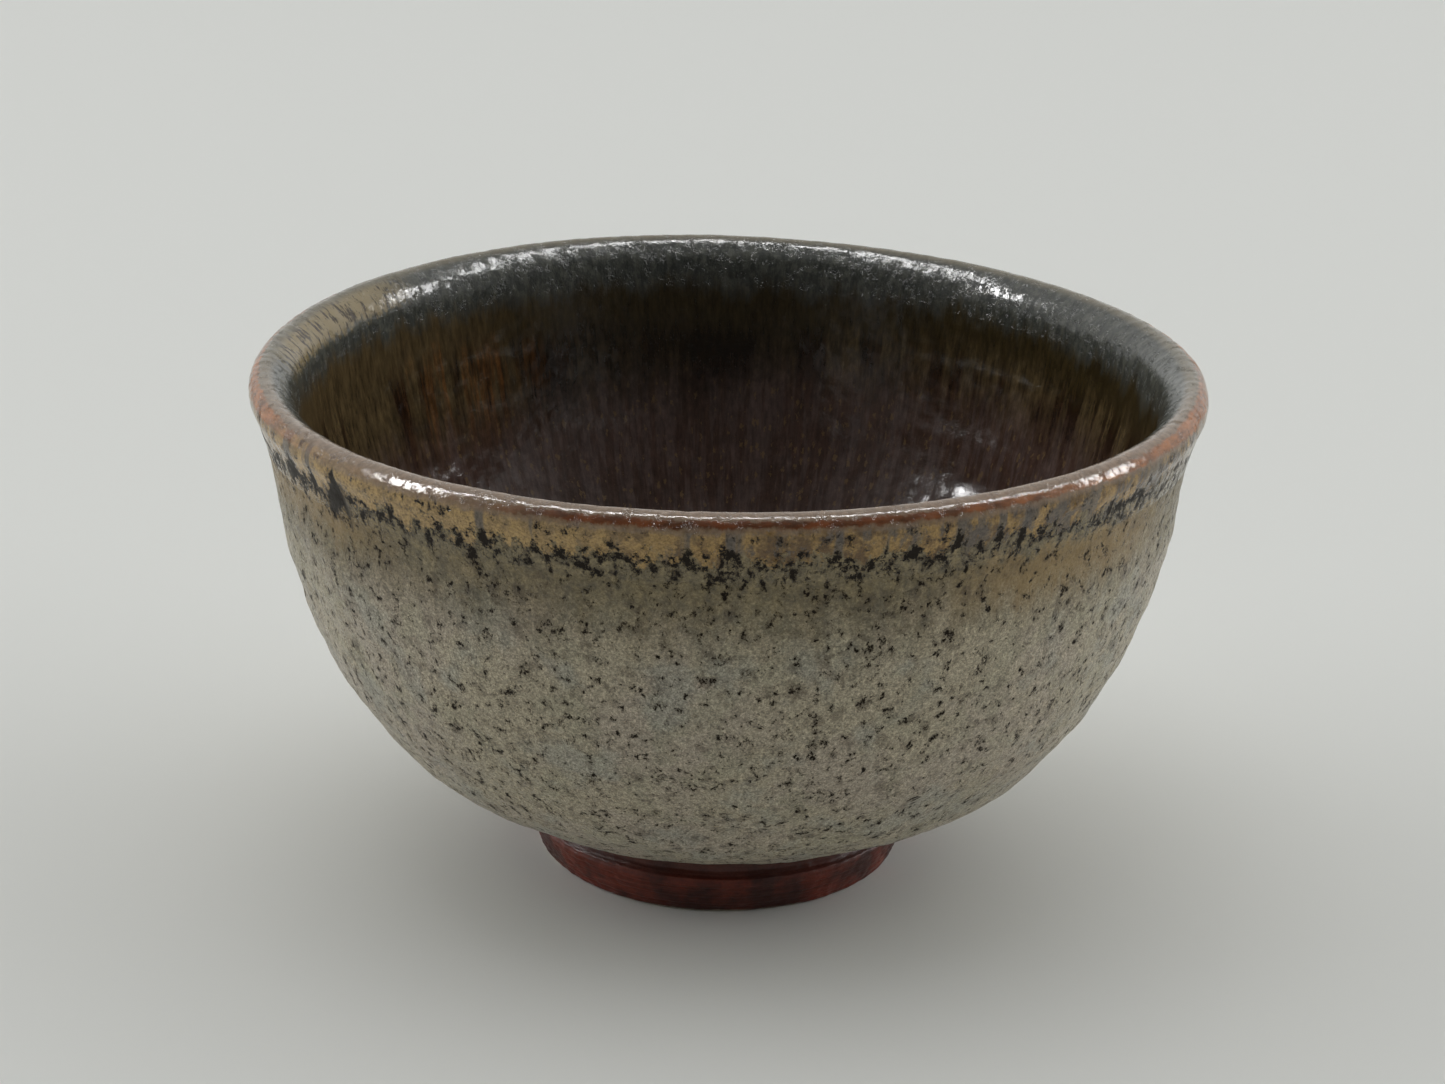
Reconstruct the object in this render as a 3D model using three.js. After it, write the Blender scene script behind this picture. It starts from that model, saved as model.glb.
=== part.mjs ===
// Matcha bowl (chawan): a wheel-thrown stoneware bowl on a turned foot ring, glazed inside and out.
// Millimetres, +Z up. The origin is on the table, at the centre of the ring that the foot rests on.
//
// The finished surface is one section line: up the outside from the glaze line above the foot, over
// the rounded lip, and down the inside to the middle of the well. The three glaze coats lie just
// under that line, and the thrown clay lies under the coats.

import * as THREE from 'three';

// Driving dimensions
const RIM_RADIUS = 62.5;
const HEIGHT = 69;
const LIP_ROUND = 2.1;
const FOOT_RADIUS = 26;
const FOOT_HEIGHT = 7.6;
const GLAZE_THICKNESS = 0.6;
const SEGMENTS = 56;

// Outside of the bowl
const NECK_RADIUS = RIM_RADIUS - 2.9;
const NECK_HEIGHT = HEIGHT - 14.5;
const GLAZE_LINE_RADIUS = FOOT_RADIUS + 0.9;
const GLAZE_LINE_HEIGHT = FOOT_HEIGHT + 0.9;

// Inside of the bowl
const FLOOR_HEIGHT = 12.2;
const WALL_THICKNESS = 4.7;

// Foot ring
const RESTING_OUTER_RADIUS = FOOT_RADIUS - 2;
const RESTING_INNER_RADIUS = 20.2;
const RECESS_RADIUS = 18.8;
const RECESS_HEIGHT = 5;
const FOOT_EDGE_HEIGHT = 5.4;
const FOOT_TOP_RADIUS = 25.2;
const FOOT_BEVEL = 0.5;

// Where the lip's coat of glaze ends, down from the top of the lip
const LIP_BAND_OUTSIDE = 8.6;
const LIP_BAND_INSIDE = 6.6;

// Clearance between neighbouring solids
const SEAM = 0.06;

const CLAY = { color: 0x6b3528, roughness: 0.85, metalness: 0 };
const FOOT_CLAY = { color: 0x5a2c22, roughness: 0.8, metalness: 0 };
const ASH_GLAZE = { color: 0x98917f, roughness: 0.35, metalness: 0 };
const LIP_GLAZE = { color: 0x7c4a2c, roughness: 0.28, metalness: 0 };
const IRON_GLAZE = { color: 0x3b2c2c, roughness: 0.22, metalness: 0 };

const point = (radius, height) => new THREE.Vector2(radius, height);

const lipCentre = point(RIM_RADIUS - LIP_ROUND, HEIGHT - LIP_ROUND);
const outerBandEdge = point(RIM_RADIUS - 1.9, HEIGHT - LIP_BAND_OUTSIDE);
const innerBandEdge = point(RIM_RADIUS - 6.1, HEIGHT - LIP_BAND_INSIDE);

// Outside wall from the glaze line to the lip band: a full round belly under a slight neck.
function outsideWall() {
  return new THREE.SplineCurve([
    point(GLAZE_LINE_RADIUS, GLAZE_LINE_HEIGHT),
    point(37, 13.3),
    point(45.2, 19.4),
    point(52.4, 29.8),
    point(57.2, 42.4),
    point(NECK_RADIUS, NECK_HEIGHT),
    outerBandEdge,
  ]).getPoints(13);
}

// Outer flare of the lip, from the lip band's lower edge to the start of the round.
function outsideFlare() {
  return new THREE.SplineCurve([
    outerBandEdge,
    point(RIM_RADIUS - 0.8, HEIGHT - 5),
    point(RIM_RADIUS, lipCentre.y),
  ]).getPoints(2);
}

// Half-round lip, from its outermost point over the top to its inner edge.
function lipRound() {
  return new THREE.EllipseCurve(lipCentre.x, lipCentre.y, LIP_ROUND, LIP_ROUND, 0, Math.PI).getPoints(6);
}

// Inner slope of the lip, from the round down to the lip band's lower edge inside.
function insideFlare() {
  return new THREE.SplineCurve([
    point(lipCentre.x - LIP_ROUND, lipCentre.y),
    point(RIM_RADIUS - 5.1, HEIGHT - 4.2),
    innerBandEdge,
  ]).getPoints(2);
}

// Inside wall from the lip band down to the middle of the well, where whisked tea gathers.
function insideWall() {
  return new THREE.SplineCurve([
    innerBandEdge,
    point(NECK_RADIUS - WALL_THICKNESS, NECK_HEIGHT),
    point(52, 42.4),
    point(46.4, 30.6),
    point(37.6, 20.8),
    point(24, 14.4),
    point(11, FLOOR_HEIGHT + 0.4),
    point(0, FLOOR_HEIGHT),
  ]).getPoints(13);
}

// Joins stretches that share their end points into one line.
function join(...stretches) {
  return stretches.flatMap((stretch, i) => (i === 0 ? stretch : stretch.slice(1)));
}

// The line moved into the wall by a distance, square to itself. A point on the axis stays on it.
function inset(line, distance) {
  return line.map((here, i) => {
    const before = line[Math.max(i - 1, 0)];
    const after = line[Math.min(i + 1, line.length - 1)];
    const along = after.clone().sub(before).normalize();
    const radius = here.x - along.y * distance;
    return here.x === 0 ? point(0, here.y - distance) : point(radius, here.y + along.x * distance);
  });
}

// The line with each end that is off the axis drawn back along itself.
function drawBack(line, distance) {
  const last = line.length - 1;
  const towards = (end, next) => line[next].clone().sub(line[end]).setLength(distance).add(line[end]);
  return [
    towards(0, 1),
    ...line.slice(1, last),
    line[last].x === 0 ? line[last] : towards(last, last - 1),
  ];
}

// A solid of revolution about +Z from a section that runs up its outer side.
function turned(name, section, finish) {
  const geometry = new THREE.LatheGeometry(section, SEGMENTS);
  geometry.rotateX(Math.PI / 2);
  const mesh = new THREE.Mesh(geometry, new THREE.MeshStandardMaterial(finish));
  mesh.name = name;
  return mesh;
}

// One coat of glaze over part of the surface. Drawing its ends back keeps butted coats clear of
// each other. The coat that reaches the axis starts and ends its section there.
function glazeCoat(name, first, last, finish) {
  const face = drawBack(surface.slice(first, last + 1), SEAM / 2);
  const back = drawBack(glazeBack.slice(first, last + 1), SEAM / 2).reverse();
  const section = [...back, ...face];
  return turned(name, back[0].x === 0 ? section : [...section, back[0]], finish);
}

// The thrown bowl: base, wall and lip under the glaze, with a boss inside the foot ring.
function clayBody() {
  return turned('clay_body', [
    point(0, RECESS_HEIGHT),
    point(RECESS_RADIUS - SEAM, RECESS_HEIGHT),
    point(RECESS_RADIUS - SEAM, FOOT_HEIGHT + SEAM),
    point(FOOT_TOP_RADIUS, FOOT_HEIGHT + SEAM),
    ...inset(surface, GLAZE_THICKNESS + SEAM),
  ], CLAY);
}

// The bare clay foot: a flat resting ring, a wall that widens upwards to a trimmed edge, and a
// shoulder that draws in under the bowl.
function footRing() {
  return turned('foot_ring', [
    point(RESTING_INNER_RADIUS, 0),
    point(RESTING_OUTER_RADIUS, 0),
    point(RESTING_OUTER_RADIUS + FOOT_BEVEL, FOOT_BEVEL),
    point(FOOT_RADIUS - 0.7, 2.2),
    point(FOOT_RADIUS, FOOT_EDGE_HEIGHT - 0.4),
    point(FOOT_RADIUS - 0.2, FOOT_EDGE_HEIGHT),
    point(FOOT_TOP_RADIUS - 0.3, 6.6),
    point(FOOT_TOP_RADIUS, FOOT_HEIGHT),
    point(RECESS_RADIUS, FOOT_HEIGHT),
    point(RECESS_RADIUS, RECESS_HEIGHT),
    point(RECESS_RADIUS + 0.6, 1.6),
    point(RESTING_INNER_RADIUS - FOOT_BEVEL, FOOT_BEVEL),
    point(RESTING_INNER_RADIUS, 0),
  ], FOOT_CLAY);
}

const outside = outsideWall();
const inside = insideWall();
const surface = join(outside, outsideFlare(), lipRound(), insideFlare(), inside);
const glazeBack = inset(surface, GLAZE_THICKNESS);
const middle = surface.length - 1;
const bandStart = outside.length - 1;
const bandEnd = middle - (inside.length - 1);

const group = new THREE.Group();
group.add(
  clayBody(),
  footRing(),
  glazeCoat('outside_glaze', 0, bandStart, ASH_GLAZE),
  glazeCoat('lip_glaze', bandStart, bandEnd, LIP_GLAZE),
  glazeCoat('inside_glaze', bandEnd, middle, IRON_GLAZE),
);

export default group;
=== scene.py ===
"""A matcha bowl's looks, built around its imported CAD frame.

The bowl is a surface of revolution that a hand has made slightly uneven. One section line gives its
glazed surface, from the foot joint up the outside, over the lip and down to the middle of the well.
Shapes are worked out in millimetres and written to the meshes in metres, +Z up.
"""

import math

import bpy
import numpy as np
from mathutils import Matrix, Vector


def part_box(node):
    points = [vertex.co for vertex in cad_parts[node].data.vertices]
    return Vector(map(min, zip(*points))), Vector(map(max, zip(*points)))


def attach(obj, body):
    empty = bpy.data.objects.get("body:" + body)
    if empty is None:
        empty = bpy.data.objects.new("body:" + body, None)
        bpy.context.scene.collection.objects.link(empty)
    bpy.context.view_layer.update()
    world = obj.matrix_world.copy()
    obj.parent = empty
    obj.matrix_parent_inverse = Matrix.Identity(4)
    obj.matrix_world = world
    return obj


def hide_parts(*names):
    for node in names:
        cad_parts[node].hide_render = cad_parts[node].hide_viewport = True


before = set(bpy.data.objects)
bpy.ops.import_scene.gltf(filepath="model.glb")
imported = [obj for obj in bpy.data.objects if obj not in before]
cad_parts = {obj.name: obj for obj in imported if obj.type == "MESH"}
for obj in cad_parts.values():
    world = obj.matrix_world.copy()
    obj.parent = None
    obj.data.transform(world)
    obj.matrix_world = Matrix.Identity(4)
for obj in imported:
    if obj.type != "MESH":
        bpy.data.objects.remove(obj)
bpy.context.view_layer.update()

MM = 0.001


def millimetres(node, corner, axis):
    """One coordinate of a CAD node's box: corner 0 is its lowest, 1 its highest."""
    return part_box(node)[corner][axis] / MM


HEIGHT = millimetres("lip_glaze", 1, 2)
RIM_RADIUS = millimetres("lip_glaze", 1, 0)
FOOT_RADIUS = millimetres("foot_ring", 1, 0)
FOOT_HEIGHT = millimetres("foot_ring", 1, 2)
RECESS_HEIGHT = millimetres("clay_body", 0, 2)
OUTSIDE_BAND_HEIGHT = millimetres("outside_glaze", 1, 2)
INSIDE_BAND_HEIGHT = millimetres("inside_glaze", 1, 2)

RECESS_RADIUS = 18.8
FOOT_TOP_INSET = 1.0
GLAZE_THICKNESS = 0.6

# Where the outside glaze starts along the section line, and how close to the axis the inside ends
GLAZE_START = 3.4
WELL_GAP = 0.4

# How far the foot sits off the axis, towards -X
FOOT_OFFSET = -0.35

# Points round each glaze coat, and the radius that the materials' streaks are measured at
SEGMENTS = 640
FLOW_RADIUS = 55


# ------------------------------------------------------------------ the section line

def even_curve(points, samples):
    """A centripetal Catmull-Rom curve through the points: its lengths and points, evenly spaced."""
    p = np.array(points, float)
    p = np.vstack([2 * p[0] - p[1], p, 2 * p[-1] - p[-2]])
    knots = np.concatenate([[0], np.cumsum(np.linalg.norm(np.diff(p, axis=0), axis=1) ** 0.5)])
    t = np.linspace(knots[1], knots[-2], samples * 4)
    i = np.clip(np.searchsorted(knots, t, "right") - 1, 1, len(p) - 3)

    def between(a, b, low, high):
        share = ((t - knots[low]) / (knots[high] - knots[low]))[:, None]
        return a * (1 - share) + b * share

    first = between(p[i - 1], p[i], i - 1, i)
    second = between(p[i], p[i + 1], i, i + 1)
    third = between(p[i + 1], p[i + 2], i + 1, i + 2)
    curve = between(between(first, second, i - 1, i + 1), between(second, third, i, i + 2), i, i + 1)
    along = np.concatenate([[0], np.cumsum(np.linalg.norm(np.diff(curve, axis=0), axis=1))])
    even = np.linspace(0, along[-1], samples)
    return even, np.column_stack([np.interp(even, along, curve[:, k]) for k in (0, 1)])


R, H = RIM_RADIUS, HEIGHT
OUTSIDE = [
    (25.0, 7.4), (27.4, 8.7), (32.6, 11.3), (38.4, 14.1), (43.9, 18.2), (48.5, 23.7), (52.6, 30.2),
    (55.7, 37.6), (57.9, 45.2), (59.2, 51.6), (R - 2.75, 56.2), (R - 2.0, H - 8.8), (R - 0.85, H - 4.8),
]
LIP = [
    (R - 0.1, H - 2.7), (R - 0.2, H - 1.4), (R - 0.95, H - 0.35), (R - 2.1, H), (R - 3.2, H - 0.35),
    (R - 4.3, H - 1.2), (R - 5.3, H - 2.3), (R - 5.9, H - 3.9),
]
INSIDE = [
    (R - 6.2, H - 5.8), (R - 6.5, H - 8.2), (R - 6.9, H - 11.2), (54.75, 53.6), (53.2, 46.8),
    (50.6, 38.8), (46.2, 30.4), (37.6, 20.8), (24.5, 14.5), (11.5, 12.65), (0, 12.2),
]
line_length, line_points = even_curve(OUTSIDE + LIP + INSIDE, 3000)
line_end = line_length[-1]
crest_index = int(np.argmax(line_points[:, 1]))
crest = line_length[crest_index]


def length_at(height, inside):
    """Where the section line reaches a height, on its way up outside or down inside."""
    if inside:
        return float(np.interp(-height, -line_points[crest_index:, 1], line_length[crest_index:]))
    return float(np.interp(height, line_points[:crest_index, 1], line_length[:crest_index]))


# ------------------------------------------------------------------ the hand-made surface

def smooth_step(value, low, high):
    """0 at low and 1 at high, or the other way round, with a smooth change between."""
    share = np.clip((value - low) / (high - low), 0, 1)
    return share * share * (3 - 2 * share)


def waves(points, wavelength, count, seed):
    """A smooth random relief of about unit size, from waves that cross the points every way."""
    random = np.random.default_rng(seed)
    ways = random.normal(size=(count, 3))
    ways /= np.linalg.norm(ways, axis=1)[:, None]
    pitches = 2 * math.pi / (wavelength * random.uniform(0.7, 1.5, count))
    phases = random.uniform(0, 2 * math.pi, count)
    total = np.zeros(points.shape[:-1])
    for way, pitch, phase in zip(ways, pitches, phases):
        total += np.cos(points @ (way * pitch) + phase)
    return total * (2 / count) ** 0.5


def handmade(points):
    """The slight lean, tilt and ovalness of a bowl that is thrown and turned by hand."""
    x, y, z = points[..., 0], points[..., 1], points[..., 2]
    angle = np.arctan2(y, x)
    up = np.clip(z / HEIGHT, 0, 1)
    wider = 1 + (0.12 * np.cos(2 * angle) + 0.08 * np.cos(3 * angle + 1)) * up / RIM_RADIUS
    tilt = 0.23 * np.cos(angle)
    wave = 0.4 * np.cos(2 * (angle + math.radians(64))) + 0.1 * np.cos(3 * angle)
    rise = (tilt + wave) * up**3 * np.hypot(x, y) / RIM_RADIUS
    shift = -0.29 * up + FOOT_OFFSET * (1 - smooth_step(z, 7.5, 16))
    return np.stack([x * wider + shift, y * wider, z + rise], -1)


def outside_relief(z, turn):
    """Low ridges that the fingers leave round a thrown wall."""
    return 0.07 * np.cos(2 * math.pi * (z / 8.5 + turn)) + 0.035 * np.cos(2 * math.pi * (z / 3.4 - turn))


def inside_relief(z, radius, turn):
    """Ridges inside, with one clear groove below the lip and a spiral in the well."""
    path = z + 0.45 * (RIM_RADIUS - radius)
    wide = 0.05 * np.cos(2 * math.pi * (path / 9.5 - turn))
    narrow = 0.012 * np.cos(2 * math.pi * (path / 3.1 + turn))
    groove_height = HEIGHT - 12.9 + 0.4 * np.cos(2 * math.pi * turn)
    groove = 0.07 * np.exp(-(((z - groove_height) / 0.8) ** 2))
    return (wide + narrow - groove) * np.clip(radius / 14, 0, 1)


def relief(points, lengths):
    """How far the glaze stands out from the section line."""
    z = points[..., 2]
    radius = np.hypot(points[..., 0], points[..., 1])
    turn = np.arctan2(points[..., 1], points[..., 0]) / (2 * math.pi)
    below_lip = np.clip((HEIGHT - 9 - z) / 8, 0, 1)
    is_inside = smooth_step(lengths, crest - 3, crest + 3)
    ridges = outside_relief(z, turn) * (1 - is_inside) + inside_relief(z, radius, turn) * is_inside
    soft = (0.10 * waves(points, 17, 40, 3) + 0.045 * waves(points, 6, 50, 4)) * (1 - 0.45 * is_inside)
    peel = 0.016 * waves(points, 2.3, 60, 5)
    return ridges * below_lip + soft * (0.3 + 0.7 * below_lip) + peel


def surface(lengths, angles):
    """Points of the glazed surface, for arrays of section lengths and angles."""
    step = 0.05
    radius, height = (np.interp(lengths, line_length, line_points[:, k]) for k in (0, 1))
    ahead = np.clip(lengths + step, 0, line_end)
    behind = np.clip(lengths - step, 0, line_end)
    run, climb = (
        np.interp(ahead, line_length, line_points[:, k]) - np.interp(behind, line_length, line_points[:, k])
        for k in (0, 1)
    )
    size = np.hypot(run, climb)
    points = np.stack([radius * np.cos(angles), radius * np.sin(angles), height], -1)
    outward = np.stack([climb * np.cos(angles), climb * np.sin(angles), -run], -1) / size[..., None]
    return handmade(points + outward * relief(points, lengths)[..., None])


def unit(vectors):
    return vectors / np.maximum(np.linalg.norm(vectors, axis=-1, keepdims=True), 1e-9)


def surface_and_normals(lengths, angles):
    """Points of the glazed surface, and the directions square to it, from points close by."""
    step = 0.12
    turn = step / FLOW_RADIUS
    points = surface(lengths, angles)
    along = surface(np.minimum(lengths + step, line_end), angles) - surface(lengths - step, angles)
    around = surface(lengths, angles + turn) - surface(lengths, angles - turn)
    return points, unit(np.cross(around, along))


# ------------------------------------------------------------------ meshes of revolution

def ring_angles(segments):
    return np.linspace(0, 2 * math.pi, segments, endpoint=False)


def revolved_row(radius, height, segments):
    """A ring of points about the axis."""
    angles = ring_angles(segments)
    return np.column_stack([radius * np.cos(angles), radius * np.sin(angles), np.full(segments, height)])


def strip(first, second, segments):
    """The quads between two rings of points, given by where each ring starts."""
    here = np.arange(segments)
    after = (here + 1) % segments
    return np.column_stack([first + here, first + after, second + after, second + here])


def fan(ring, middle, segments, upwards):
    """The triangles between a ring of points and its middle point, facing up or down."""
    here = np.arange(segments)
    after = (here + 1) % segments
    ends = (here, after) if upwards else (after, here)
    return np.column_stack([ring + ends[0], ring + ends[1], np.full(segments, middle)])


def make_mesh(name, points, quads, triangles, normals=None, flow=None):
    """A smooth mesh object. A corner with a zero normal gets the one that Blender works out."""
    corners = np.concatenate([quads.ravel(), triangles.ravel()])
    sizes = np.concatenate([np.full(len(quads), 4), np.full(len(triangles), 3)])
    mesh = bpy.data.meshes.new(name)
    mesh.vertices.add(len(points))
    mesh.vertices.foreach_set("co", (points * MM).astype(np.float32).ravel())
    mesh.loops.add(len(corners))
    mesh.loops.foreach_set("vertex_index", corners.astype(np.int32))
    mesh.polygons.add(len(sizes))
    mesh.polygons.foreach_set("loop_start", (np.cumsum(sizes) - sizes).astype(np.int32))
    mesh.polygons.foreach_set("loop_total", sizes.astype(np.int32))
    mesh.polygons.foreach_set("use_smooth", np.ones(len(sizes), bool))
    mesh.update(calc_edges=True)
    if flow is not None:
        attribute = mesh.attributes.new("flow", "FLOAT_VECTOR", "POINT")
        attribute.data.foreach_set("vector", flow.astype(np.float32).ravel())
    if normals is not None:
        mesh.normals_split_custom_set(normals.tolist())
    made = bpy.data.objects.new(name, mesh)
    bpy.context.scene.collection.objects.link(made)
    return made


def revolved(name, rows, closes_on_axis):
    """A closed mesh through rings of points. It ends on the axis at both ends, or joins end to end."""
    segments = len(rows[0])
    points = np.concatenate(rows)
    count = len(rows)
    quads = [strip(i * segments, (i + 1) * segments, segments) for i in range(count - 1)]
    triangles = np.zeros((0, 3), int)
    if closes_on_axis:
        first, last = len(points), len(points) + 1
        points = np.vstack([points, rows[0].mean(0), rows[-1].mean(0)])
        top = (count - 1) * segments
        triangles = np.concatenate([fan(0, first, segments, False), fan(top, last, segments, True)])
    else:
        quads.append(strip((count - 1) * segments, 0, segments))
    return make_mesh(name, points, np.concatenate(quads), triangles)


def shell(name, face, normals, back, face_flow, back_flow):
    """A closed shell with a detailed face and a plain back. Where its last ring is next to the axis,
    both sides close there."""
    rows, segments = face.shape[:2]
    back_rows = len(back)
    points = np.concatenate([face.reshape(-1, 3), back.reshape(-1, 3)])
    flow = np.concatenate([face_flow.reshape(-1, 3), back_flow.reshape(-1, 3)])
    point_normals = np.concatenate([normals.reshape(-1, 3), np.zeros((back_rows * segments + 2, 3))])
    first_back = rows * segments
    last_face, last_back = (rows - 1) * segments, first_back + (back_rows - 1) * segments
    face_quads = np.concatenate([
        strip(i * segments, (i + 1) * segments, segments)
        for i in range(rows - 1)
    ])
    other_quads = [
        strip(first_back + (i + 1) * segments, first_back + i * segments, segments)
        for i in range(back_rows - 1)
    ]
    other_quads.append(strip(first_back, 0, segments))
    triangles = np.zeros((0, 3), int)
    ends_on_axis = np.ptp(face[-1, :, 0]) < 4 * WELL_GAP
    if ends_on_axis:
        middle = len(points)
        points = np.vstack([points, face[-1].mean(0), back[-1].mean(0)])
        flow = np.vstack([flow, face_flow[-1].mean(0), back_flow[-1].mean(0)])
        point_normals[middle] = unit(normals[-1].mean(0))
        triangles = np.concatenate([
            fan(last_face, middle, segments, True),
            fan(last_back, middle + 1, segments, False),
        ])
    else:
        other_quads.append(strip(last_face, last_back, segments))
    other_quads = np.concatenate(other_quads)
    quads = np.concatenate([face_quads, other_quads])
    corner_normals = np.concatenate([
        point_normals[face_quads.ravel()],
        np.zeros((other_quads.size, 3)),
        point_normals[triangles.ravel()],
    ])
    return make_mesh(name, points, quads, triangles, corner_normals, flow)


# ------------------------------------------------------------------ the glaze coats

def flow_of(lengths, angles):
    """Coordinates for the materials: round the bowl, and down from the lip's crest, outside positive."""
    return np.stack([FLOW_RADIUS * np.cos(angles), FLOW_RADIUS * np.sin(angles), crest - lengths], -1)


def rounded_edge(face, normals, distance):
    """Brings a coat down to the clay over its last millimetre, behind a slightly thicker roll."""
    inward = np.clip(distance / 0.9, 0, 1)
    roll = 0.22 * np.exp(-(((distance - 1.6) / 0.8) ** 2))
    thickness = GLAZE_THICKNESS * np.sqrt(np.clip(1 - (1 - inward) ** 2, 0, 1)) + roll
    moved = face + normals * (thickness - GLAZE_THICKNESS)[..., None]
    along = np.gradient(moved, axis=0)
    around = np.roll(moved, -1, 1) - np.roll(moved, 1, 1)
    near = ((inward < 1) | (roll > 0.01))[..., None]
    return moved, np.where(near, unit(np.cross(around, along)), normals)


def glaze_coat(name, start, end, rows, back_rows, free_edge=None):
    """One coat between two lengths of the section line. free_edge gives how far its first edge
    wanders, by angle, where it ends on bare clay."""
    angles = ring_angles(SEGMENTS)
    first = start + (free_edge(angles) if free_edge else np.zeros(SEGMENTS))
    share = np.linspace(0, 1, rows)[:, None] ** (1.15 if free_edge else 1)
    lengths = first * (1 - share) + end * share
    turn = np.broadcast_to(angles, lengths.shape)
    face, normals = surface_and_normals(lengths, turn)
    picked = np.unique(np.linspace(0, rows - 1, back_rows).astype(int))
    back = face[picked] - normals[picked] * GLAZE_THICKNESS
    flow = flow_of(lengths, turn)
    if free_edge:
        face, normals = rounded_edge(face, normals, lengths - lengths[:1])
    return shell(name, face, normals, back, flow, flow[picked])


def glaze_line_wander(angles):
    """How far the glaze's lower edge strays along the section line, by angle."""
    return 0.45 * np.cos(2 * angles + 0.6) + 0.3 * np.cos(5 * angles + 2) + 0.16 * np.cos(11 * angles + 0.7)


# ------------------------------------------------------------------ the clay

def turned_clay(points):
    """Marks of the turning tool and the grit of bare clay."""
    x, y, z = points[..., 0], points[..., 1], points[..., 2]
    radius = np.hypot(x, y)
    turn = np.arctan2(y, x) / (2 * math.pi)
    clear_of_table = np.clip(z / 0.35, 0, 1)
    marks = 0.05 * np.cos(2 * math.pi * (z / 1.3 + turn)) + 0.03 * np.cos(2 * math.pi * (z / 0.55 - turn))
    grit = 0.035 * waves(points, 1.6, 50, 8) + 0.06 * waves(points, 7, 30, 9)
    wider = 1 + (marks + grit) * clear_of_table / np.maximum(radius, 8)
    under = smooth_step(radius, 18.2, 16.5) * smooth_step(z, RECESS_HEIGHT + 1.5, RECESS_HEIGHT + 0.5)
    spiral = 0.16 * np.cos(2 * math.pi * (radius / 3.6 - turn)) * np.clip(radius / 5, 0, 1)
    nub = -0.9 * np.exp(-((radius / 2.6) ** 2))
    drop = (spiral + nub + 0.05 * waves(points, 2.5, 40, 10)) * under
    return handmade(np.stack([x * wider, y * wider, z + drop], -1))


def make_foot():
    """The turned ring: its resting face, the wall that widens up to a trimmed edge, the shoulder that
    draws in to the bowl, and the hollow inside."""
    wall = even_curve([
        (FOOT_RADIUS - 1.9, 0), (FOOT_RADIUS - 1.5, 0.2), (FOOT_RADIUS - 1.15, 0.9),
        (FOOT_RADIUS - 0.5, 2.9), (FOOT_RADIUS, 4.75), (FOOT_RADIUS - 0.08, 5.2), (FOOT_RADIUS - 0.6, 5.75),
        (FOOT_RADIUS - FOOT_TOP_INSET, 6.6), (FOOT_RADIUS - FOOT_TOP_INSET, FOOT_HEIGHT),
    ], 60)[1]
    hollow = even_curve([
        (RECESS_RADIUS, FOOT_HEIGHT), (RECESS_RADIUS, 5), (18.9, 3.6), (19.2, 1.8), (19.7, 0.5), (20.3, 0),
    ], 40)[1]
    resting = [(radius, 0) for radius in np.linspace(20.8, FOOT_RADIUS - 2.4, 7)]
    segments = 512
    rows = [turned_clay(revolved_row(r, z, segments)) for r, z in [*resting, *wall, *hollow]]
    return revolved("turned_foot", rows, closes_on_axis=False)


def make_clay():
    """The thrown bowl. A narrow band of it shows between the foot and the glaze, and the base inside
    the foot ring. Elsewhere it lies under the coats."""
    segments = 384
    seam = 0.03
    angles = ring_angles(segments)
    inset = GLAZE_THICKNESS + 0.04
    base = [(radius, RECESS_HEIGHT) for radius in np.linspace(0.6, RECESS_RADIUS - seam, 56)]
    joint = [
        (RECESS_RADIUS - seam, FOOT_HEIGHT + seam),
        (FOOT_RADIUS - FOOT_TOP_INSET, FOOT_HEIGHT + seam),
    ]
    fillet = even_curve([
        (FOOT_RADIUS - FOOT_TOP_INSET, FOOT_HEIGHT + 0.05), (FOOT_RADIUS - 0.6, 8.3),
        (FOOT_RADIUS + 0.4, 8.95), (FOOT_RADIUS + 1.5, 9.5),
    ], 10)[1]
    rows = [turned_clay(revolved_row(r, z, segments)) for r, z in [*base, *joint, *fillet]]
    for length in np.concatenate([np.arange(3.2, 8, 0.5), np.linspace(8.5, line_end - 0.6, 110)]):
        points, normals = surface_and_normals(np.full(segments, length), angles)
        rows.append(points - normals * inset)
    return revolved("thrown_clay", rows, closes_on_axis=True)


# ------------------------------------------------------------------ material nodes

def colour(red, green, blue):
    """A linear colour with alpha, from its usual 0 to 255 values."""
    def linear(value):
        value /= 255
        return value / 12.92 if value <= 0.04045 else ((value + 0.055) / 1.055) ** 2.4

    return (linear(red), linear(green), linear(blue), 1)


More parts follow.
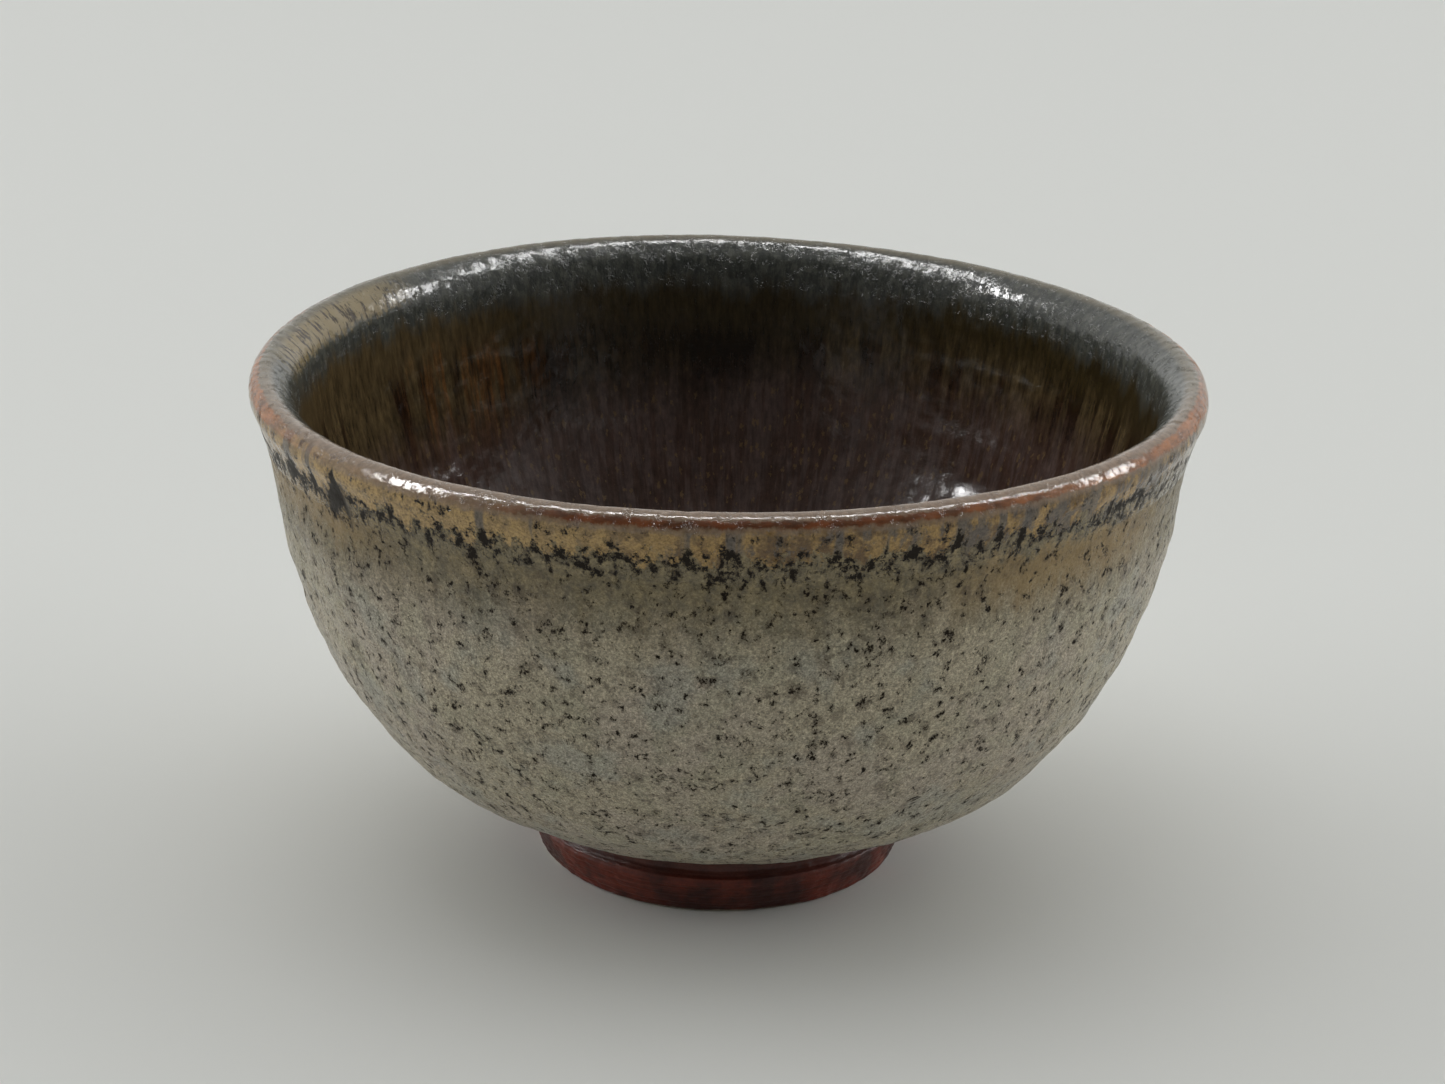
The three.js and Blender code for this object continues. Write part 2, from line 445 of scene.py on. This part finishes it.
class Painter:
    """One material's nodes. Each call adds a node and returns its output, to feed to the next."""

    def __init__(self, name):
        self.material = bpy.data.materials.new(name)
        self.material.use_nodes = True
        self.tree = self.material.node_tree
        self.tree.nodes.clear()
        place = self.add("TexCoord").outputs["Object"]
        self.place = self.scaled(place, (1 / MM, 1 / MM, 1 / MM))
        self.flow = self.add("Attribute", attribute_name="flow").outputs["Vector"]

    def add(self, kind, inputs=(), **settings):
        node = self.tree.nodes.new("ShaderNode" + kind)
        for key, value in settings.items():
            setattr(node, key, value)
        for key, value in inputs:
            if isinstance(value, bpy.types.NodeSocket):
                self.tree.links.new(value, node.inputs[key])
            elif value is not None:
                node.inputs[key].default_value = value
        return node

    def math(self, operation, *values, clamp=False):
        return self.add("Math", enumerate(values), operation=operation, use_clamp=clamp).outputs[0]

    def plus(self, a, b):
        return self.math("ADD", a, b)

    def times(self, a, b):
        return self.math("MULTIPLY", a, b)

    def minus(self, a, b):
        return self.math("SUBTRACT", a, b)

    def centred(self, noise, spread):
        """The noise moved to lie around 0, with its full range stretched to spread."""
        return self.times(self.minus(noise, 0.5), spread)

    def scaled(self, vector, factors):
        return self.add("VectorMath", ((0, vector), (1, factors)), operation="MULTIPLY").outputs[0]

    def shifted(self, vector, offset):
        return self.add("VectorMath", ((0, vector), (1, offset)), operation="ADD").outputs[0]

    def split(self, vector):
        return self.add("SeparateXYZ", ((0, vector),)).outputs

    def noise(self, vector, size, detail=2.0, roughness=0.5, seed=0.0):
        """Smooth noise around 0.5, whose blobs are about size millimetres."""
        where = self.shifted(vector, (seed * 17.3, seed * 9.1, seed * 5.7)) if seed else vector
        inputs = (("Vector", where), ("Scale", 1 / size), ("Detail", detail), ("Roughness", roughness))
        return self.add("TexNoise", inputs).outputs["Fac"]

    def step(self, value, low, high):
        """0 below low and 1 above high, or the other way round, with a smooth change between."""
        inputs = ((0, value), (1, low), (2, high), (3, 0.0), (4, 1.0))
        return self.add("MapRange", inputs, interpolation_type="SMOOTHSTEP").outputs[0]

    def band(self, value, low, high, soft_low, soft_high):
        """1 between low and high, fading out over soft_low and soft_high either side of them."""
        rising = self.step(value, low - soft_low, low + soft_low)
        falling = self.step(value, high + soft_high, high - soft_high)
        return self.times(rising, falling)

    def facing(self, degrees, half_width, soft):
        """1 within half_width of an angle round the bowl, fading out over soft degrees."""
        angle = math.radians(degrees)
        way = (math.cos(angle) / FLOW_RADIUS, math.sin(angle) / FLOW_RADIUS, 0)
        inputs = ((0, self.flow), (1, way))
        cosine = self.add("VectorMath", inputs, operation="DOT_PRODUCT").outputs["Value"]
        outer, inner = (math.cos(math.radians(half_width + s)) for s in (soft, -soft))
        return self.step(cosine, outer, inner)

    def mix(self, share, first, second):
        """The first colour where share is 0, the second where it is 1."""
        node = self.add("Mix", data_type="RGBA")
        for socket, value in ((node.inputs[0], share), (node.inputs[6], first), (node.inputs[7], second)):
            if isinstance(value, bpy.types.NodeSocket):
                self.tree.links.new(value, socket)
            else:
                socket.default_value = value
        return node.outputs[2]

    def varied(self, base, value, low, high, spread=0.2):
        """base times a factor that goes from low to high as value goes 0.5 - spread to 0.5 + spread."""
        inputs = ((0, value), (1, 0.5 - spread), (2, 0.5 + spread), (3, low), (4, high))
        factor = self.add("MapRange", inputs).outputs[0]
        base = base if isinstance(base, bpy.types.NodeSocket) else base[:3]
        return self.add("VectorMath", ((0, base), ("Scale", factor)), operation="SCALE").outputs[0]

    def specks(self, vector, cell, radius, chance, ragged=0.35, seed=0.0):
        """1 inside scattered grains of about that radius. A grain sits in each cell by that chance."""
        where = self.shifted(vector, (seed, seed * 2, seed * 3))
        wobble = self.noise(where, radius * 0.9, 2)
        cells = self.add("TexVoronoi", (("Vector", where), ("Scale", 1 / cell)))
        distance = self.times(cells.outputs["Distance"], cell)
        uneven = self.plus(distance, self.times(self.minus(wobble, 0.5), radius * ragged * 4))
        pick = self.split(cells.outputs["Color"])
        size = self.plus(self.times(pick[1], radius * 0.8), radius * 0.5)
        inside = self.step(self.math("DIVIDE", uneven, size), 1.15, 0.7)
        return self.times(inside, self.step(pick[0], chance + 0.01, chance - 0.01))

    def iron(self, mask, base):
        """Iron melted into the glaze: brown where the mask is faint, black where it is full."""
        stained = self.math("MULTIPLY", mask, 1.3, clamp=True)
        return self.mix(stained, base, self.mix(self.step(mask, 0.15, 0.85), IRON_BROWN, IRON_BLACK))

    def bump(self, height, distance, normal=None):
        """Unevenness that stands distance millimetres high where height is 1, over another normal."""
        inputs = (("Height", height), ("Distance", distance * MM), ("Normal", normal))
        return self.add("Bump", inputs).outputs[0]

    def finish(self, base, roughness, normal, gloss):
        """Ends the material in a Principled shader. gloss is its specular level."""
        surface_inputs = (("Base Color", base), ("Roughness", roughness))
        light_inputs = (("Normal", normal), ("Specular IOR Level", gloss))
        shader = self.add("BsdfPrincipled", surface_inputs + light_inputs)
        output = self.add("OutputMaterial")
        self.tree.links.new(shader.outputs[0], output.inputs[0])
        return self.material


# ------------------------------------------------------------------ glazes

ASH_WARM = colour(166, 156, 133)
ASH_PINK = colour(165, 154, 136)
ASH_GREEN = colour(155, 149, 126)
ASH_BLUE = colour(150, 149, 136)
# Pale grey of the painted glints that fleck the ash glaze
ASH_PAINTED_GLINT = colour(196, 188, 168)
OLIVE = colour(104, 91, 59)
OCHRE = colour(152, 122, 70)
DEEP_OCHRE = colour(98, 73, 38)
PALE_OCHRE = colour(178, 150, 100)
DRIP_GREY = colour(84, 79, 74)
RUST_DARK = colour(98, 46, 15)
RUST_BRIGHT = colour(148, 92, 50)
MAUVE = colour(134, 114, 95)
CREST_GREY = colour(104, 101, 84)
IRON_BLACK = colour(27, 19, 9)
IRON_BROWN = colour(62, 48, 30)
SLATE = colour(66, 68, 64)
SLATE_LIGHT = colour(88, 89, 82)
KHAKI = colour(146, 131, 98)
DARK_OLIVE = colour(52, 43, 24)
DARK_BROWN = colour(40, 26, 15)
OLIVE_BROWN = colour(78, 65, 43)
NEAR_BLACK = colour(24, 16, 9)
PURPLE_BROWN = colour(76, 57, 49)
PURPLE_LIGHT = colour(90, 74, 69)
AMBER = colour(108, 70, 34)
TAN_FLECK = colour(134, 108, 72)

# The stretch at the left of the front that has more iron and tan: its middle, half its width and how
# softly it ends, in degrees round the bowl.
LEFT_FRONT = (-154, 17, 9)


def ash_ground(p):
    """Grey ash glaze: soft patches of warm, pinkish, greenish and bluish grey, smudged with brown under a
    salt-and-pepper grain, and flecked with pale painted glints."""
    base = p.mix(p.step(p.noise(p.place, 15, 3, 0.6, 1), 0.4, 0.62), ASH_WARM, ASH_PINK)
    base = p.mix(p.times(p.step(p.noise(p.place, 7, 4, 0.6, 2), 0.48, 0.62), 0.6), base, ASH_GREEN)
    base = p.mix(p.times(p.step(p.noise(p.place, 9, 3, 0.6, 3), 0.52, 0.66), 0.6), base, ASH_BLUE)
    smudge = p.step(p.noise(p.place, 2.0, 5, 0.7, 4), 0.52, 0.66)
    base = p.mix(p.times(smudge, 0.42), base, IRON_BROWN)
    base = p.varied(base, p.noise(p.place, 0.5, 4, 0.75, 5), 0.82, 1.18, 0.13)
    base = p.varied(base, p.noise(p.place, 0.24, 3, 0.75, 6), 0.62, 1.38, 0.14)
    # Pale flecks painted into the colour as glints of light on the glaze
    light = p.step(p.noise(p.place, 0.32, 2, 0.6, 9), 0.63, 0.72)
    return p.mix(p.times(light, 0.5), base, ASH_PAINTED_GLINT)


def iron_specks(p, crowding):
    """Masks of iron that melted through the glaze: dark ragged grains, and the brown stain round them."""
    stretched = p.scaled(p.place, (1, 1, 0.85))
    crowd = p.step(p.plus(p.noise(p.place, 7, 3, 0.6, 7), crowding), 0.44, 0.64)
    crumbs = p.noise(p.place, 0.35, 3, 0.7, 10)
    islands = p.plus(p.noise(stretched, 1.7, 5, 0.78, 8), p.centred(crumbs, 0.25))
    fine = p.step(p.plus(islands, p.times(crowd, 0.07)), 0.71, 0.82)
    large = p.specks(stretched, 2.7, 0.34, 0.4, ragged=0.7, seed=11.0)
    large = p.times(large, p.step(p.plus(crumbs, p.times(crowd, 0.06)), 0.43, 0.55))
    stain = p.specks(stretched, 2.7, 0.9, 0.4, ragged=0.9, seed=11.0)
    dots = p.specks(stretched, 1.1, 0.15, 0.3, ragged=0.8, seed=23.0)
    dark = p.math("MAXIMUM", p.times(large, 0.85), p.times(dots, p.plus(0.1, p.times(crowd, 0.4))))
    return p.math("MAXIMUM", dark, p.times(fine, 0.55)), p.times(stain, 0.4)


def lip_edge(p, down, fringe, painted):
    """Round the lip itself: a mauve line below a rust edge, and the streaked crest."""
    shore = p.plus(down, p.centred(fringe, 1.8))
    streaks = p.noise(p.scaled(p.flow, (1, 1, 0.5)), 0.6, 4, 0.7, 35)
    mauve = p.varied(MAUVE, streaks, 0.82, 1.2, 0.14)
    mauve_zone = p.times(p.step(shore, 3.4, 2.6), p.minus(0.85, p.times(p.facing(-163, 22, 12), 0.6)))
    painted = p.mix(mauve_zone, painted, mauve)

    rust = p.mix(p.facing(-100, 34, 24), RUST_BRIGHT, RUST_DARK)
    rust = p.varied(rust, p.noise(p.scaled(p.flow, (0.4, 0.4, 1)), 1.2, 4, 0.65, 34), 0.5, 1.5, 0.14)
    rust_patchy = p.minus(1, p.times(p.facing(-132, 17, 9), 0.8))
    sides = p.minus(1, p.facing(-90, 58, 16))
    lower_edge = p.plus(2.35, p.times(sides, 0.3))
    rust_zone = p.step(p.minus(shore, lower_edge), 0.3, -0.2)
    painted = p.mix(p.times(p.times(rust_zone, rust_patchy), 0.85), painted, rust)

    crest_colour = p.mix(p.facing(-90, 72, 22), CREST_GREY, MAUVE)
    crest_colour = p.varied(crest_colour, streaks, 0.8, 1.22, 0.14)
    upper_edge = p.minus(1.5, p.times(sides, 0.8))
    return p.mix(p.times(p.step(p.minus(shore, upper_edge), 0.25, -0.25), 0.92), painted, crest_colour)


def speckled_ground(p, down, uneven, fringe, crumbs):
    """The ash glaze with its specks, olive towards the lip's band, a darker olive high on the far left that
    is partly painted shade, and tan in two places below it. Gives the colour and the mask of the dark
    specks."""
    ground = ash_ground(p)
    dark, stain = iron_specks(p, p.times(p.step(down, 24, 10), 0.08))
    olive = p.times(p.step(uneven, 24, 10), 0.85)
    ground = p.mix(olive, ground, p.varied(OLIVE, fringe, 0.5, 1.5, 0.14))
    # Olive tint high on the far left, darker than the glaze round it: partly glaze colour, partly painted
    # shade on that side
    far_left_olive_shade = p.times(p.facing(-160, 24, 14), p.step(down, 22, 10))
    ground = p.mix(p.times(far_left_olive_shade, 0.6), ground, OLIVE)
    ground = p.varied(ground, crumbs, 0.72, 1.25, 0.14)
    right_tan = p.times(p.facing(-45, 13, 9), p.band(uneven, 9.5, 16, 1.2, 3))
    left_tan = p.times(p.facing(*LEFT_FRONT), p.band(uneven, 8, 13.5, 1.2, 2.5))
    ground = p.mix(p.times(p.plus(right_tan, left_tan), 0.5), ground, OCHRE)
    return p.iron(dark, p.mix(stain, ground, IRON_BROWN)), dark


def ochre_band(p, drip):
    """Cloudy ochre, paler at the left of the front, crossed by cool grey drips and patches."""
    grain = p.noise(p.place, 0.35, 3, 0.7, 36)
    cloud = p.noise(p.scaled(p.place, (1, 1, 0.9)), 2.2, 3, 0.6, 39)
    ochre = p.mix(p.step(cloud, 0.40, 0.58), DEEP_OCHRE, OCHRE)
    pale_stretch = p.facing(-126, 22, 12)
    ochre = p.mix(p.times(pale_stretch, 0.55), ochre, PALE_OCHRE)
    ochre = p.varied(ochre, grain, 0.7, 1.28, 0.14)
    right_front = p.facing(-42, 26, 14)
    cool_patch = p.noise(p.scaled(p.place, (1, 1, 0.6)), 2.4, 4, 0.65, 38)
    cool = p.step(p.plus(cool_patch, p.times(right_front, 0.11)), 0.56, 0.66)
    cool = p.times(cool, p.minus(0.75, p.times(pale_stretch, 0.6)))
    cool = p.math("MAXIMUM", p.times(drip, 0.85), cool)
    return p.mix(cool, ochre, p.varied(DRIP_GREY, grain, 0.7, 1.3, 0.14))


def black_clusters(p, uneven, crumbs, drip):
    """A mask of the iron black along the ochre's lower edge: thickest in the drips and at the left of
    the front, with one large blot there."""
    clusters = p.noise(p.scaled(p.place, (1, 1, 0.8)), 1.4, 5, 0.75, 33)
    clusters = p.plus(clusters, p.centred(crumbs, 0.3))
    in_band = p.band(uneven, 6.3, 9.0, 0.8, 1.6)
    below = p.times(p.band(uneven, 7, 10, 1, 4), 0.015)
    lift = p.plus(p.times(in_band, p.plus(0.085, p.times(drip, 0.13))), below)
    lift = p.plus(lift, p.times(p.times(p.facing(*LEFT_FRONT), in_band), 0.05))
    black = p.step(p.plus(clusters, lift), 0.535, 0.67)
    blot = p.times(p.facing(-139.5, 1.8, 1.3), p.band(uneven, 4.6, 9.6, 0.8, 1.2))
    return p.math("MAXIMUM", p.times(black, 0.93), p.times(blot, 0.85))


def outside_colour(p):
    """From the lip's crest down the outside: mauve crest, rust edge, ochre crossed by grey drips, broken
    clusters of iron black at their ends, olive fading into the speckled grey. Gives the colour and the
    mask of the iron."""
    down = p.split(p.flow)[2]
    runs = p.noise(p.scaled(p.flow, (1, 1, 0.06)), 2.3, 2, 0.5, 31)
    fringe = p.noise(p.scaled(p.place, (1, 1, 0.8)), 1.6, 5, 0.72, 32)
    crumbs = p.noise(p.place, 0.45, 3, 0.7, 37)
    ragged = p.plus(p.plus(p.centred(fringe, 8), p.centred(runs, 7)), p.centred(crumbs, 2.5))
    uneven = p.plus(down, ragged)
    drip = p.step(runs, 0.55, 0.64)
    ground, dark = speckled_ground(p, down, uneven, fringe, crumbs)
    painted = p.mix(p.step(uneven, 7.1, 5.9), ground, ochre_band(p, drip))
    black = black_clusters(p, uneven, crumbs, drip)
    painted = p.iron(black, painted)
    return lip_edge(p, down, fringe, painted), p.math("MAXIMUM", dark, black)


def slate_slope(p, deep, fur, mottle):
    """Slate just inside the lip, with a spotted khaki stretch at the left of the back."""
    slate = p.mix(p.step(mottle, 0.42, 0.62), SLATE, SLATE_LIGHT)
    slate = p.varied(slate, fur, 0.75, 1.25, 0.14)
    spots = p.step(p.noise(p.scaled(p.flow, (1, 1, 0.3)), 0.9, 4, 0.7, 44), 0.52, 0.58)
    khaki_zone = p.times(p.facing(163, 17, 6), p.step(p.plus(deep, p.centred(mottle, 5)), 6, 4.6))
    return p.mix(khaki_zone, slate, p.mix(spots, KHAKI, IRON_BROWN))


def brown_wall(p, broad, fur, mottle, left_side):
    """Streaked browns, with amber where the glaze ran thin on the left and near black at the back."""
    mostly_olive = p.step(p.plus(broad, p.times(left_side, 0.06)), 0.42, 0.56)
    brown = p.mix(mostly_olive, DARK_BROWN, OLIVE_BROWN)
    amber = p.step(p.noise(p.scaled(p.flow, (1, 1, 0.08)), 1.6, 4, 0.65, 45), 0.44, 0.62)
    thin_glaze = p.facing(132, 10, 9)
    brown = p.mix(p.times(p.times(thin_glaze, amber), 0.65), brown, AMBER)
    brown = p.mix(p.times(p.facing(100, 20, 14), 0.75), brown, NEAR_BLACK)
    brown = p.varied(brown, fur, 0.55, 1.5, 0.14)
    return p.varied(brown, mottle, 0.75, 1.25, 0.14)


def purple_well(p, fur, mottle):
    """Ribbons of purple-brown, scattered with tan flecks."""
    ribbons = p.noise(p.scaled(p.flow, (1, 1, 0.12)), 1.5, 3, 0.6, 46)
    purple = p.mix(p.step(ribbons, 0.42, 0.6), PURPLE_BROWN, PURPLE_LIGHT)
    purple = p.varied(purple, fur, 0.76, 1.24, 0.14)
    purple = p.varied(purple, mottle, 0.84, 1.16, 0.14)
    flecks = p.specks(p.scaled(p.place, (1, 1, 0.4)), 0.95, 0.24, 0.7, ragged=1.0, seed=51.0)
    return p.mix(p.times(flecks, 0.5), purple, TAN_FLECK)


def inside_colour(p):
    """From the crest down the inside: slate, dark olive, brown and near black, then purple-brown, all
    drawn into fine hare's-fur streaks."""
    deep = p.times(p.split(p.flow)[2], -1)
    fur = p.noise(p.scaled(p.flow, (1, 1, 0.22)), 0.8, 5, 0.72, 41)
    broad = p.noise(p.scaled(p.flow, (1, 1, 0.1)), 4, 4, 0.62, 42)
    mottle = p.noise(p.scaled(p.place, (1, 1, 0.6)), 1.0, 4, 0.68, 43)
    uneven = p.plus(deep, p.plus(p.centred(broad, 9), p.centred(mottle, 5)))
    left_side = p.facing(165, 35, 15)
    olive = p.varied(p.mix(left_side, DARK_OLIVE, OLIVE_BROWN), fur, 0.6, 1.45, 0.14)
    painted = p.mix(p.step(uneven, 6.5, 10.5), slate_slope(p, deep, fur, mottle), olive)
    painted = p.mix(p.step(uneven, 11, 17), painted, brown_wall(p, broad, fur, mottle, left_side))
    higher_on_right = p.times(p.facing(30, 60, 40), 5)
    purple_zone = p.step(p.plus(uneven, higher_on_right), 20, 32)
    return p.mix(purple_zone, painted, purple_well(p, fur, mottle))


def glaze_normal(p, coarse, fine, pits=None):
    """Orange peel and the finer unevenness that makes a fired glaze sparkle, by their depths."""
    peel = p.bump(p.noise(p.place, 1.2, 3, 0.6, 61), coarse)
    normal = p.bump(p.noise(p.place, 0.36, 3, 0.65, 62), fine, peel)
    if pits is None:
        return normal
    return p.bump(p.times(pits, -1), 0.06, normal)


def glaze_roughness(p, low, high):
    """A roughness that drifts between two values over about a millimetre."""
    inputs = ((0, p.noise(p.place, 1.2, 4, 0.7, 63)), (1, 0.38), (2, 0.62), (3, low), (4, high))
    return p.add("MapRange", inputs).outputs[0]


def ash_glaze():
    p = Painter("ash_glaze")
    painted, iron = outside_colour(p)
    gloss = p.minus(0.4, p.times(iron, 0.34))
    roughness = p.plus(glaze_roughness(p, 0.26, 0.46), p.times(iron, 0.2))
    return p.finish(painted, roughness, glaze_normal(p, 0.10, 0.075, iron), gloss)


def lip_glaze():
    p = Painter("lip_glaze")
    outer, iron = outside_colour(p)
    over_crest = p.step(p.split(p.flow)[2], -0.4, -1.8)
    painted = p.mix(over_crest, outer, inside_colour(p))
    gloss = p.minus(0.5, p.times(iron, 0.4))
    roughness = p.plus(glaze_roughness(p, 0.07, 0.13), p.times(iron, 0.4))
    return p.finish(painted, roughness, glaze_normal(p, 0.07, 0.022, iron), gloss)


def iron_glaze():
    p = Painter("iron_glaze")
    return p.finish(inside_colour(p), glaze_roughness(p, 0.10, 0.18), glaze_normal(p, 0.045, 0.02), 0.5)


# ------------------------------------------------------------------ bare clay

CLAY_RED = colour(112, 44, 27)
CLAY_DARK = colour(64, 26, 18)
# Purple-brown clay, darkened as painted shade for the band above the foot's trimmed edge
CLAY_PURPLE_SHADED = colour(76, 42, 35)
CLAY_SAND = colour(96, 66, 54)
KILN_WASH = colour(206, 192, 168)


def bare_clay(name):
    """Iron-rich clay: redder and darker patches, purple-brown above the trimmed edge that is darkened there
    as painted shade under the bowl, fine turning rings, sand, and a trace of kiln wash along the foot's
    resting edge."""
    p = Painter(name)
    height = p.split(p.place)[2]
    rings = p.noise(p.scaled(p.place, (0.12, 0.12, 3)), 1, 3, 0.6, 71)
    patches = p.noise(p.place, 6, 3, 0.6, 72)
    grain = p.noise(p.place, 0.35, 3, 0.7, 73)
    base = p.mix(p.step(patches, 0.38, 0.62), CLAY_RED, CLAY_DARK)
    # Above the trimmed edge: purple-brown with painted shade where the bowl overhangs the foot
    base = p.mix(p.times(p.step(height, 5.1, 5.6), 0.7), base, CLAY_PURPLE_SHADED)
    base = p.varied(p.varied(base, rings, 0.8, 1.15), grain, 0.75, 1.2)
    sand = p.specks(p.place, 0.8, 0.14, 0.2, seed=74.0)
    base = p.mix(p.times(sand, 0.3), base, CLAY_SAND)
    wash = p.times(p.step(height, 0.45, 0.2), p.step(p.noise(p.place, 9, 2, 0.5, 75), 0.44, 0.56))
    base = p.mix(p.times(wash, 0.85), base, KILN_WASH)
    coarse = p.bump(p.noise(p.place, 1.1, 4, 0.65, 76), 0.10)
    turned = p.bump(rings, 0.08, coarse)
    gritty = p.bump(grain, 0.03, turned)
    return p.finish(base, p.plus(0.26, p.times(patches, 0.3)), gritty, 0.45)


# ------------------------------------------------------------------ floor, light and camera

def make_floor():
    """A plain pale floor, wide enough that its edge is far behind the bowl from any side."""
    reach = 4.0
    mesh = bpy.data.meshes.new("floor")
    corners = [(-reach, -reach, 0), (reach, -reach, 0), (reach, reach, 0), (-reach, reach, 0)]
    mesh.from_pydata(corners, [], [(0, 1, 2, 3)])
    floor = bpy.data.objects.new("floor", mesh)
    bpy.context.scene.collection.objects.link(floor)
    material = bpy.data.materials.new("floor_paper")
    material.use_nodes = True
    shader = material.node_tree.nodes["Principled BSDF"]
    shader.inputs["Base Color"].default_value = colour(228, 229, 226)
    shader.inputs["Roughness"].default_value = 0.7
    shader.inputs["Specular IOR Level"].default_value = 0.0
    mesh.materials.append(material)


def aimed(place, target, roll=0.0):
    """A matrix at place that looks along its own -Z at target."""
    look = (Vector(target) - Vector(place)).to_track_quat("-Z", "Y").to_matrix().to_4x4()
    return Matrix.Translation(place) @ look @ Matrix.Rotation(roll, 4, "Z")


def softbox(name, direction, distance, size, radiance, lean=0, diffuse=True, glossy=True):
    """A rectangular light aimed at the bowl, turned about its aim by an angle in degrees. Its power
    follows from its area, so radiance is how bright it looks whatever its size. It can be kept out of
    the matt shading or out of the reflections."""
    light = bpy.data.lights.new(name, "AREA")
    light.shape = "RECTANGLE"
    light.size, light.size_y = size
    light.energy = radiance * math.pi * size[0] * size[1]
    lamp = bpy.data.objects.new(name, light)
    lamp.visible_diffuse = diffuse
    lamp.visible_glossy = glossy
    middle = Vector((0, 0, HEIGHT * MM / 2))
    place = middle + Vector(direction).normalized() * distance
    lamp.matrix_world = aimed(place, middle, math.radians(lean))
    bpy.context.scene.collection.objects.link(lamp)


def make_light():
    """Soft panels at both sides and overhead light the bowl. Tall strips at the sides and a long one
    overhead give the glaze its highlights."""
    softbox("left_panel", (-0.93, 0.12, 0.32), 2.4, (2.2, 1.4), 1.9, glossy=False)
    softbox("left_strip", (-0.82, 0.0, 0.58), 1.8, (0.19, 0.95), 50, lean=28, diffuse=False)
    softbox("right_panel", (0.93, 0.12, 0.32), 2.4, (2.2, 1.4), 1.85, glossy=False)
    softbox("right_strip", (0.85, 0.22, 0.48), 1.8, (0.16, 1.0), 32, lean=-28, diffuse=False)
    softbox("top_panel", (-0.10, -0.08, 0.99), 2.4, (1.4, 1.4), 0.9, glossy=False)
    softbox("top_strip", (0.0, 0.12, 0.99), 1.6, (3.4, 0.08), 58, diffuse=False)


def make_room():
    """A bright room that is darker in front of the bowl. Its brightness changes along Y."""
    dark_end, bright_end = -0.9, 0.5
    darkest, brightest = 0.04, 0.85
    world = bpy.data.worlds.new("studio")
    bpy.context.scene.world = world
    world.use_nodes = True
    tree = world.node_tree
    direction = tree.nodes.new("ShaderNodeTexCoord").outputs["Generated"]
    split = tree.nodes.new("ShaderNodeSeparateXYZ")
    tree.links.new(direction, split.inputs[0])
    ramp = tree.nodes.new("ShaderNodeMapRange")
    ramp.interpolation_type = "SMOOTHSTEP"
    tree.links.new(split.outputs[1], ramp.inputs[0])
    for socket, value in zip(ramp.inputs[1:5], (dark_end, bright_end, darkest, brightest)):
        socket.default_value = value
    tree.links.new(ramp.outputs[0], tree.nodes["Background"].inputs["Strength"])
    tree.nodes["Background"].inputs["Color"].default_value = (0.99, 1.0, 0.985, 1)


def make_camera():
    """A view from in front of the bowl and above it, looking down about 21 degrees."""
    camera = bpy.data.cameras.new("camera")
    camera.lens = 74.7
    camera.sensor_width = 36
    holder = bpy.data.objects.new("camera", camera)
    holder.matrix_world = aimed((0, -0.3774, 0.1859), (-0.0006, 0, 0.0429), math.radians(1.25))
    bpy.context.scene.collection.objects.link(holder)
    bpy.context.scene.camera = holder
    bpy.context.scene.view_settings.view_transform = "Standard"


# ------------------------------------------------------------------ assembly

def place_piece(piece, node, material):
    """Gives a piece its material, puts it under the root body and hides the CAD node that it stands in for.
    """
    piece.data.materials.append(material)
    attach(piece, "root")
    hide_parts(node)


band_start = length_at(OUTSIDE_BAND_HEIGHT, inside=False)
band_end = length_at(INSIDE_BAND_HEIGHT, inside=True)
outside_coat = glaze_coat(
    "outside_coat", GLAZE_START, band_start, rows=118, back_rows=14, free_edge=glaze_line_wander,
)
lip_coat = glaze_coat("lip_coat", band_start, band_end, rows=52, back_rows=10)
inside_coat = glaze_coat("inside_coat", band_end, line_end - WELL_GAP, rows=124, back_rows=14)

place_piece(outside_coat, "outside_glaze", ash_glaze())
place_piece(lip_coat, "lip_glaze", lip_glaze())
place_piece(inside_coat, "inside_glaze", iron_glaze())
place_piece(make_foot(), "foot_ring", bare_clay("foot_clay"))
place_piece(make_clay(), "clay_body", bare_clay("clay"))

make_floor()
make_light()
make_room()
make_camera()
